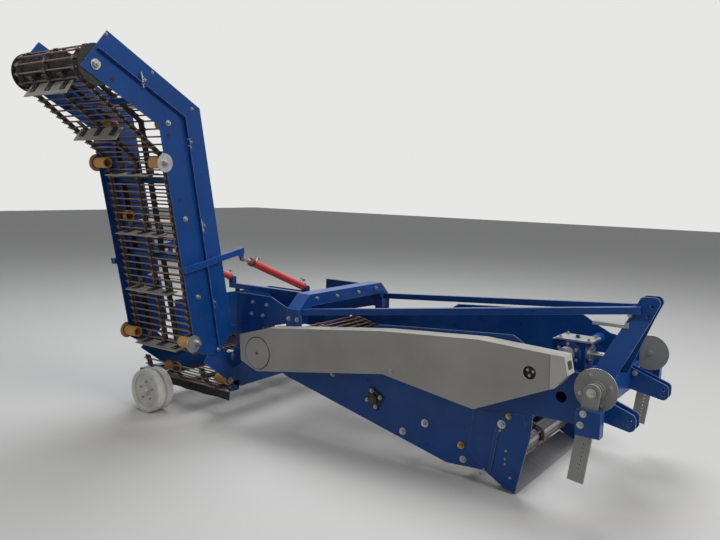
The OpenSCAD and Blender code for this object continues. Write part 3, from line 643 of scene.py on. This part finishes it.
def facing(out, along=None):
    """Turn that takes Z to a direction, and X as near to another one as it can."""
    z = Vector(out).normalized()
    if along is None:
        along = UP if abs(z.z) < 0.9 else FRONT
    x = Vector(along)
    x = (x - z * x.dot(z)).normalized()
    return Matrix((x, z.cross(x), z)).transposed()


def keep(name, body, mesh, finish=None):
    """Makes a mesh a piece that rides on a body."""
    if finish:
        mesh.materials.append(finish.material)
    piece = bpy.data.objects.new(name, mesh)
    bpy.context.scene.collection.objects.link(piece)
    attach(piece, body)
    return piece


def scatter(name, body, pattern, finish, points):
    """A piece that repeats a pattern at points, each a place in metres, a turn and a scale."""
    mesh = bpy.data.meshes.new(name)
    mesh.from_pydata([p[0] for p in points], [], [])
    mesh.attributes.new("turn", "FLOAT_VECTOR", "POINT")
    mesh.attributes.new("size", "FLOAT", "POINT")
    mesh.attributes["turn"].data.foreach_set("vector", [a for p in points for a in p[1].to_euler()])
    mesh.attributes["size"].data.foreach_set("value", [p[2] for p in points])
    row = bpy.data.objects.new(name + "_points", mesh)
    bpy.context.scene.collection.objects.link(row)
    modifier = row.modifiers.new("pattern", "NODES")
    modifier.node_group = pattern.tree
    for item in pattern.tree.interface.items_tree:
        if item.name in pattern.sizes:
            modifier[item.identifier] = pattern.sizes[item.name] * MM
        elif item.name == "Finish":
            modifier[item.identifier] = finish.material
    made = bpy.data.meshes.new_from_object(row.evaluated_get(bpy.context.evaluated_depsgraph_get()))
    bpy.data.objects.remove(row)
    return keep(name, body, made)


BOLT = hex_bolt()
PLUG = round_plug()
CLIP = rod_clip()
BRACE = flight_brace()
TAB = frame_tab()
TAB_GAUGE = 6


def set_out(rows):
    """Points for a pattern. Columns: x, y, z, direction, scale."""
    return [(place(x, y, z), facing(out), scale) for x, y, z, out, scale in rows]


def on_both_ends(x, rows):
    """The same rows [y, z, scale] on a front face at x and on its mirror image at the elevator's rear."""
    front = [(x, y, z, FRONT, s) for y, z, s in rows]
    return front + [(mirrored(x), y, z, REAR, s) for y, z, s in rows]


def on_both_sides(y, rows):
    """The same rows [x, z, scale] on a right-hand face at -y and on a left-hand face at y."""
    return [(x, side * y, z, out, s) for side, hand, out in SIDES for x, z, s in rows]


def ring(x, z, radius, count, start, scale):
    """Rows [x, z, scale] round a place."""
    turns = [math.radians(start + 360 * i / count) for i in range(count)]
    return [(x + radius * math.cos(a), z + radius * math.sin(a), scale) for a in turns]


# Elevator frames. Columns: y, z, and scale where it differs
FRAME_BOLTS = [
    (-1066, 1937, 1.0), (-938, 1360, 1.0), (-834, 856, 1.0), (-1553, 2208, 1.7),
    (-1482, 2380, 0.55), (-1179, 2217, 0.55), (-882, 2040, 0.55),
]
IDLER_FLANGE = 6
IDLER_NUTS = [(-843.6, 555.5, 1.5), (-1092.5, 1700, 1.5)]
FRAME_TABS = [(-1236, 2166), (-897, 1836), (-792, 1318), (-697, 807)]
FRAME_PLUGS = [(-1449, 2143), (-1066, 1863), (-977, 1478), (-834, 726)]
# Both sides of the machine: distance of the face from the middle, then rows of x, z, scale
SIDE_BOLTS = [
    (PLATE_FACE, [(-314, 117, 1.15), (-562, 267, 1.35), (-707, 187, 1.25), (-1228, 432, 0.9),
                  (-781, 513, 0.9)]),
    (SHOE_FACE, [(-106, 330, 0.5), (-96, 365, 1.35), (-64, 226, 0.4), (-67, 181, 0.4), (-66, 154, 0.4),
                 (-34, 86, 0.45), (-185, 92, 0.45), (-205, 66, 0.4)]),
    (BEARING_FACE, ring(*BEARING, 34 * math.sqrt(2), 4, 18, 0.75)),
    (596, [(356, 540, 1.0), (345, 484, 1.0)]),
    (379.5, [(358, 558, 0.9)]),
    (-303.5, [(358, 558, 0.9)]),
    (512, [(-1585, 738, 0.9), (-1515, 738, 0.9), (-1585, 640, 0.9), (-1515, 640, 0.9),
           (-1730, 452, 0.8), (-1730, 405, 0.8)]),
    (492, [(-1926, 802, 0.8), (-1798, 797, 0.8), (-1833, 722, 0.8), (-1935, 722, 0.8)]),
    (585, [(*DISC, 1.35)]),
    (90, ring(*SHAFT, 57, 6, 30, 0.6)),
    (60.2, [(418, 993, 0.75), (400, 953, 0.75)]),
]
SIDE_GOLD_BOLTS = [
    (SHOE_FACE, [(-60, 415, 0.9)]),
    (PLATE_FACE, [(-330, 193, 1.2)]),
]
CROSS_BOLTS = [(-541, 243, 1.2), (520, 280, 1.2), (0, 280, 1.0), (300, 280, 1.0)]
ARCH_BOLTS = [(-338, 858), (-122, 850), (122, 850), (338, 858)]
GUARD_BOLT = (-724, GUARD_FACE, 565, RIGHT, 0.8)


def lift_bolts():
    """Bolts and hole plugs of the elevator's frames."""
    rows = on_both_ends(LIFT_FACE, FRAME_BOLTS)
    rows += on_both_ends(LIFT_FACE + IDLER_FLANGE, IDLER_NUTS)
    upper = [(y, z, 0.55) for y, z in FRAME_TABS]
    lower = [(y - 6, z - 34, 0.55) for y, z in FRAME_TABS]
    rows += on_both_ends(LIFT_FACE + TAB_GAUGE, upper + lower)
    scatter("lift_bolts", "elevator", BOLT, zinc, set_out(rows))
    plugs = on_both_ends(LIFT_FACE, [(y, z, 1.0) for y, z in FRAME_PLUGS])
    scatter("lift_plugs", "elevator", PLUG, black, set_out(plugs))


def base_bolts():
    """Bolts of the fixed body, and those of its chain guard."""
    rows = [(x, y, 782, UP, 0.7) for x in (36, 194) for y in (-60, 60)]
    rows += [(198, y, z, FRONT, s) for y, z, s in ring(0, SHAFT[1], 42, 4, 45, 0.55)]
    rows += [(-1500, y, z, FRONT, 0.8) for y, z in ARCH_BOLTS]
    rows += on_both_ends(CROSS_FACE, CROSS_BOLTS)
    rows += [(CROSS_FACE + 5, -494, 409, FRONT, 1.5)]
    rows += on_both_ends(LIFT_FACE + 14, [(-670, 486, 0.9)])
    for y, side_rows in SIDE_BOLTS:
        rows += on_both_sides(y, side_rows)
    scatter("base_bolts", "base", BOLT, zinc, set_out(rows))
    gold_rows = [row for y, side_rows in SIDE_GOLD_BOLTS for row in on_both_sides(y, side_rows)]
    scatter("base_gold_bolts", "base", BOLT, gold, set_out(gold_rows))
    hub = [(x, GUARD_FACE + 10, z, RIGHT, s) for x, z, s in ring(*SHAFT, 17, 3, 20, 0.45)]
    scatter("guard_bolts", "base", BOLT, zinc, set_out(hub + [GUARD_BOLT]))


def disc_bolts():
    """Bolts round each coulter disc's flange."""
    for side, hand, out in SIDES:
        body = "disc_" + hand
        rows = [(x, side * 517.5, z, out, s) for x, z, s in ring(*DISC, 80, 4, 20, 0.6)]
        scatter(body + "_bolts", body, BOLT, zinc, set_out(rows))


# Web fittings

# Rods that are further apart than this, in metres, aren't neighbours on their web
NEXT_ROD = 0.09
# Heights and shifts of clips and braces, in mm
CLIP_RISE = 4.3
BRACE_DROP = 44
BRACE_BACK = 3.2
BRACES_ACROSS = (-150, 0, 150)


def solids(name):
    """Corner points of each separate solid of a node, in the node's own order."""
    mesh = frame["nodes"][name].data
    corners = [tuple(round(c, 5) for c in v.co) for v in mesh.vertices]
    root = {c: c for c in corners}

    def find(c):
        while root[c] != c:
            root[c] = root[root[c]]
            c = root[c]
        return c

    for face in mesh.polygons:
        first = find(corners[face.vertices[0]])
        for v in face.vertices[1:]:
            root[find(corners[v])] = first
    groups = {}
    for c in corners:
        groups.setdefault(find(c), set()).add(c)
    return [[Vector(c) for c in group] for group in groups.values()]


def middle(points):
    """Middle of the box round some points."""
    low = [min(p[i] for p in points) for i in range(3)]
    high = [max(p[i] for p in points) for i in range(3)]
    return (Vector(low) + Vector(high)) / 2


def rod_chain(name):
    """Middles of a web's rods, in the order in which they follow each other round the web."""
    left = [middle(s) for s in solids(name)]
    chain = [left.pop(0)]
    while left:
        nearest = min(left, key=lambda p: (p - chain[-1]).length)
        if (nearest - chain[-1]).length > NEXT_ROD:
            nearest = min(left, key=lambda p: (p - chain[0]).length)
            chain.insert(0, nearest)
        else:
            chain.append(nearest)
        left.remove(nearest)
    return chain


def clip_web(web, body, width_axis):
    """Clips where each rod of a web crosses a belt, on the web's outer side."""
    axis = Vector(width_axis)
    lanes = [middle(belt).dot(axis) for belt in solids(web + "_belts")]
    chain = rod_chain(web + "_rods")
    centre = middle(chain)
    points = []
    for i, rod in enumerate(chain):
        ahead = chain[min(i + 1, len(chain) - 1)] - chain[max(i - 1, 0)]
        out = ahead.cross(axis).normalized()
        # The elevator's web is bent, so that its middle doesn't tell which side is the outer one
        if out.dot(rod - centre) < 0 and web != "lift":
            out = -out
        for lane in lanes:
            seat = rod + axis * (lane - rod.dot(axis)) + out * (CLIP_RISE * MM)
            points.append((seat, facing(out, ahead), 1.0))
    scatter(web + "_clips", body, CLIP, rod_steel, points)
    return chain


def brace_flights(chain):
    """Braces on the trailing side of every flight, each above the middle of the two nearest rods."""
    points = []
    for corners in solids("lift_flights"):
        mid = middle(corners)
        a, b = sorted(chain, key=lambda rod: (rod - mid).length)[:2]
        foot = (a + b) / 2
        foot.x = mid.x
        out = (mid - foot).normalized()
        trailing = Vector((0, out.z, -out.y))
        for across in BRACES_ACROSS:
            shift = trailing * BRACE_BACK - out * BRACE_DROP + Vector((across, 0, 0))
            points.append((mid + shift * MM, facing(out, trailing), 1.0))
    scatter("flight_braces", "elevator", BRACE, iron, points)


# Larger fittings

# Edges with a sharper angle than this are rounded, in radians
SHARP = 0.6
WIRE_SIDES = 6


def finished(name, bm):
    """A flat-shaded mesh of what was built."""
    for face in bm.faces:
        face.smooth = False
    mesh = bpy.data.meshes.new(name)
    bm.to_mesh(mesh)
    bm.free()
    return mesh


def slab(name, outline, depth, round_edge):
    """A plate: its outline as corners on the machine, drawn out by a vector in mm, with rounded edges."""
    bm = bmesh.new()
    face = bm.faces.new([bm.verts.new(place(*p)) for p in outline])
    out = bmesh.ops.extrude_face_region(bm, geom=[face])
    moved = [v for v in out["geom"] if isinstance(v, bmesh.types.BMVert)]
    bmesh.ops.translate(bm, verts=moved, vec=Vector(depth) * MM)
    bmesh.ops.recalc_face_normals(bm, faces=bm.faces)
    sharp = [e for e in bm.edges if len(e.link_faces) == 2 and e.calc_face_angle(0) > SHARP]
    bmesh.ops.bevel(bm, geom=sharp, offset=round_edge * MM, segments=2, affect="EDGES", clamp_overlap=True)
    return finished(name, bm)


def box_plate(low, high):
    """A plate between two corners, with rounded edges."""
    corners = [(low[0], low[1]), (high[0], low[1]), (high[0], high[1]), (low[0], high[1])]
    return slab("plate", [(x, y, low[2]) for x, y in corners], (0, 0, high[2] - low[2]), 0.8)


def turned(name, profile, at, out, sides=32, closed=False):
    """A turned piece of rows [distance along the axis, radius], closed on themselves or with two ends."""
    bm = bmesh.new()
    turn = facing(out)
    angles = [2 * math.pi * i / sides for i in range(sides)]
    rings = []
    for along, radius in profile:
        local = [Vector((radius * math.cos(a), radius * math.sin(a), along)) for a in angles]
        rings.append([bm.verts.new(place(*at) + turn @ p * MM) for p in local])
    last = rings[:1] if closed else []
    for low, high in zip(rings, rings[1:] + last):
        for i in range(sides):
            j = (i + 1) % sides
            bm.faces.new((low[i], low[j], high[j], high[i]))
    if not closed:
        bm.faces.new(list(reversed(rings[0])))
        bm.faces.new(rings[-1])
    bmesh.ops.recalc_face_normals(bm, faces=bm.faces)
    return finished(name, bm)


def hoop(name, radius, section, at, out):
    """A round ring of wire about an axis."""
    angles = [2 * math.pi * i / WIRE_SIDES for i in range(WIRE_SIDES)]
    profile = [(section * math.sin(a), radius + section * math.cos(a)) for a in angles]
    return turned(name, profile, at, out, 96, closed=True)


def merged(name, meshes):
    """One mesh made of several, which are removed."""
    bm = bmesh.new()
    for mesh in meshes:
        bm.from_mesh(mesh)
        bpy.data.meshes.remove(mesh)
    return finished(name, bm)


# Direction down the legs of the elevator's frames
LEG = Vector((0, 0.19, -0.98))


def lift_tabs():
    """Tabs on the outer faces of the elevator's two frames."""
    points = []
    for y, z in FRAME_TABS:
        for x, out in ((LIFT_FACE, FRONT), (mirrored(LIFT_FACE), REAR)):
            points.append((place(x, y - 3, z - 17), facing(out, LEG), 1.0))
    scatter("lift_tabs", "elevator", TAB, blue, points)


def adjusters():
    """Threaded rods with nuts that set the idlers, on the tabs of the elevator's frame."""
    rod = [(0, 4), (1, 5), (20, 5), (20.5, 9), (29, 9), (29.5, 5), (60, 5), (60.5, 9), (69, 9), (69.5, 5),
           (86, 5), (87, 4)]
    front = LIFT_FACE + 15
    rods = [turned("rod", rod, (x, y - 30, z + 40), LEG, 8)
            for y, z in FRAME_TABS for x in (front, mirrored(front))]
    keep("adjusters", "elevator", merged("adjusters", rods), zinc)


def side_gussets():
    """Strip along the front of each shoe."""
    outline = [(-124, 352), (-104, 352), (-145, 84), (-165, 84)]
    strips = [slab("strip", [(x, side * SHOE_FACE, z) for x, z in outline], (0, side * 7, 0), 1.0)
              for side in (-1, 1)]
    keep("side_gussets", "base", merged("side_gussets", strips), blue)


def shaft_shield():
    """Folded zinc shield above the gearbox's input shaft, held at the mast's rear edges."""
    top = [(205, -65), (388, -65), (388, 65), (205, 65)]
    lip = [(207, 879), (386, 879), (386, 892.8), (207, 892.8)]
    ear = [(368, 880), (400, 880), (400, 912), (378, 906)]
    sheets = [slab("top", [(x, y, 893) for x, y in top], (0, 0, 2.5), 0.6)]
    for side in (-1, 1):
        sheets.append(slab("lip", [(x, side * 65, z) for x, z in lip], (0, -side * 2.5, 0), 0.6))
        sheets.append(slab("ear", [(x, side * 62, z) for x, z in ear], (0, -side * 6, 0), 0.6))
    keep("shaft_shield", "base", merged("shaft_shield", sheets), zinc)


def gearbox_plug():
    """Hexagonal filler plug on the gearbox."""
    plug = [(0, 16), (3, 16), (3.5, 11), (14, 11), (15, 9)]
    keep("gearbox_plug", "base", turned("gearbox_plug", plug, (112, 0, 782.2), UP, 6), iron)


def cover_shadow_ring():
    """Black ring round the chain guard's cover, as painted shadow in the gap between cover and guard, and
    the cover's screw.
    """
    screw = turned("screw", [(0, 9), (3, 9), (4, 7)], on_axis(COVER, GUARD_FACE - 7.1), RIGHT, 12)
    # The black ring stands where only shadow falls round the cover: painted shadow
    shadow_ring = hoop("shadow_ring", 103.8, 3.4, on_axis(COVER, GUARD_FACE - 0.6), RIGHT)
    keep("cover_shadow_ring", "base", merged("cover_shadow_ring", [screw, shadow_ring]), iron)


def bearing_ends():
    """Dished caps of the side plates' bearings."""
    end = [(0, 15), (4, 15), (5, 13), (5.2, 6), (3, 5)]
    ends = [turned("end", end, on_axis(BEARING, side * 531.1), out, 24) for side, hand, out in SIDES]
    keep("bearing_ends", "base", merged("bearing_ends", ends), iron)


# The rubber flap: its two ends along the machine, its lower and upper edge, and its middle plane
FLAP_ENDS = (-2735, -2105)
FLAP_EDGES = (95, 170)
FLAP_Y = -530
FLAP_HALF_GAUGE = 3
HOLDER_GAUGE = 6
# Its waves along the machine: height, length over which the sine's angle grows by 1, start of the angle
FLAP_WAVES = [(5, 33.0, 0), (3, 71.0, 1)]
# Plates that hold it at each end: lower y, lower z, upper y, upper z
FLAP_HOLDERS = [(-527, 178.2, -450, 200), (-500, 200.2, -450, 230), (-511.8, 158, -450, 178)]


def waved_sheet(name):
    """A rubber sheet that waves more and more towards its lower edge."""
    columns = 72
    rows = 8
    bm = bmesh.new()

    def corner(half, i, j):
        x = FLAP_ENDS[0] + (FLAP_ENDS[1] - FLAP_ENDS[0]) * i / columns
        z = FLAP_EDGES[0] + (FLAP_EDGES[1] - FLAP_EDGES[0]) * j / rows
        free = 1 - j / rows
        wave = sum(height * math.sin(x / length + shift) for height, length, shift in FLAP_WAVES)
        return bm.verts.new(place(x, FLAP_Y + half + wave * free * free, z))

    def skin(half):
        return [[corner(half, i, j) for j in range(rows + 1)] for i in range(columns + 1)]

    a = skin(-FLAP_HALF_GAUGE)
    b = skin(FLAP_HALF_GAUGE)
    for i in range(columns):
        for j in range(rows):
            for s in (a, b):
                bm.faces.new((s[i][j], s[i + 1][j], s[i + 1][j + 1], s[i][j + 1]))
        for j in (0, rows):
            bm.faces.new((a[i][j], a[i + 1][j], b[i + 1][j], b[i][j]))
    for j in range(rows):
        for i in (0, columns):
            bm.faces.new((a[i][j], a[i][j + 1], b[i][j + 1], b[i][j]))
    bmesh.ops.recalc_face_normals(bm, faces=bm.faces)
    return finished(name, bm)


def hanging_flap():
    """The rubber flap below the cross web, with its holder, the strip that clamps it and its bolts."""
    sheet = keep("flap_sheet", "base", waved_sheet("flap_sheet"), black)
    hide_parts("rubber_flap")
    rear = mirrored(CROSS_FACE)
    holder = [box_plate((rear, -527, 158), (CROSS_FACE, -512, 178))]
    for x in (rear, CROSS_FACE - HOLDER_GAUGE):
        for low_y, low_z, high_y, high_z in FLAP_HOLDERS:
            holder.append(box_plate((x, low_y, low_z), (x + HOLDER_GAUGE, high_y, high_z)))
    keep("flap_holder", "base", merged("flap_holder", holder), blue)
    start, end = FLAP_ENDS
    strip = box_plate((start, -536.2, 155), (end, -533.2, 173))
    keep("flap_strip", "base", strip, zinc)
    points = set_out([(start + 45 + 135 * i, -536.2, 164, RIGHT, 0.5) for i in range(5)])
    scatter("flap_bolts", "base", BOLT, zinc, points)


def guard_cap():
    """Folded cap over the guard's front end, in a grey lighter than the guard's as painted light, with a
    black plate in its front face as painted shade inside a slot.
    """
    side = [(196, 636), (220, 645), (276.5, 716), (256, 808), (190, 811)]
    front = [(277.4, 716), (279.4, 716.5), (258.4, 808), (256.4, 807.5)]
    slot = [(274.7, 741), (277.7, 741.7), (268.7, 781), (265.7, 780.3)]
    sheets = [
        slab("side", [(x, GUARD_FACE - 0.3, z) for x, z in side], (0, -2.5, 0), 0.5),
        slab("front", [(x, GUARD_FACE - 2.8, z) for x, z in front], (0, 100, 0), 0.5),
    ]
    # Lighter grey than the guard: painted light on the cap, whose faces turn to the light
    keep("guard_cap", "base", merged("guard_cap", sheets), painted_lit_grey)
    # Black plate in the front face: painted shade inside the slot
    hole = slab("guard_cap_slot_shade", [(x, GUARD_FACE + 26, z) for x, z in slot], (0, 46, 0), 0.8)
    keep("guard_cap_slot_shade", "base", hole, iron)


def wheel_hubs():
    """Dust cap and bolts of each gauge wheel's hub."""
    profile = [(0, 31), (2, 31), (4, 29), (4.5, 20), (7, 19), (8, 15)]
    for side, hand, out in SIDES:
        body = "wheel_" + hand
        cap = turned(body + "_cap", profile, on_axis(WHEEL, side * 875.2), out)
        keep(body + "_cap", body, cap, zinc)
        rows = [(x, side * 865.1, z, out, s) for x, z, s in ring(*WHEEL, 62, 5, 18, 0.6)]
        scatter(body + "_bolts", body, BOLT, zinc, set_out(rows))


def disc_flanges():
    """Flange of each coulter disc's bearing, and the rim round it."""
    profile = [(0, 47), (4, 46), (5, 36), (9, 35)]
    for side, hand, out in SIDES:
        body = "disc_" + hand
        flange = turned(body + "_flange", profile, on_axis(DISC, side * 517.6), out)
        keep(body + "_flange", body, flange, coulter_grey)
        rim = hoop(body + "_rim", 104.6, 1.9, on_axis(DISC, side * 515), out)
        keep(body + "_rim", body, rim, zinc)


def cylinder_fittings():
    """Gland nut, base ring and two ports with elbows of each lift cylinder, set out along its barrel."""
    gland = [(0, 27), (1.5, 29), (26, 29), (28, 27)]
    base_ring = [(0, 27), (1, 28.5), (12, 28.5), (13, 27)]
    port = [(0, 12), (12, 12), (12.5, 9), (22, 9)]
    elbow = [(-9, 8), (20, 8), (20.5, 10), (34, 10)]
    along = Vector((0, -650, 266)).normalized()
    up = Vector((0, along.z, -along.y))
    rings = []
    ports = []
    for x in (-2030, mirrored(-2030)):
        foot = Vector((x, 180, 818))
        rings.append(turned("gland", gland, foot + along * 612, along))
        rings.append(turned("base", base_ring, foot + along * 26, along))
        for reach in (70, 590):
            seat = foot + along * reach
            ports.append(turned("port", port, seat + up * 23, up, 16))
            ports.append(turned("elbow", elbow, seat + up * 50, -along, 6))
    keep("cylinder_glands", "cylinder_barrels", merged("cylinder_glands", rings), iron)
    keep("cylinder_ports", "cylinder_barrels", merged("cylinder_ports", ports), zinc)


lift_bolts()
base_bolts()
disc_bolts()
lift_tabs()
side_gussets()
shaft_shield()
adjusters()
gearbox_plug()
cover_shadow_ring()
bearing_ends()
hanging_flap()
guard_cap()
wheel_hubs()
disc_flanges()
cylinder_fittings()
clip_web("digging", "base", LEFT)
clip_web("cross", "base", FRONT)
brace_flights(clip_web("lift", "elevator", FRONT))

aim_camera()
lay_floor()
light_stage()
bpy.context.scene.view_settings.view_transform = "Standard"
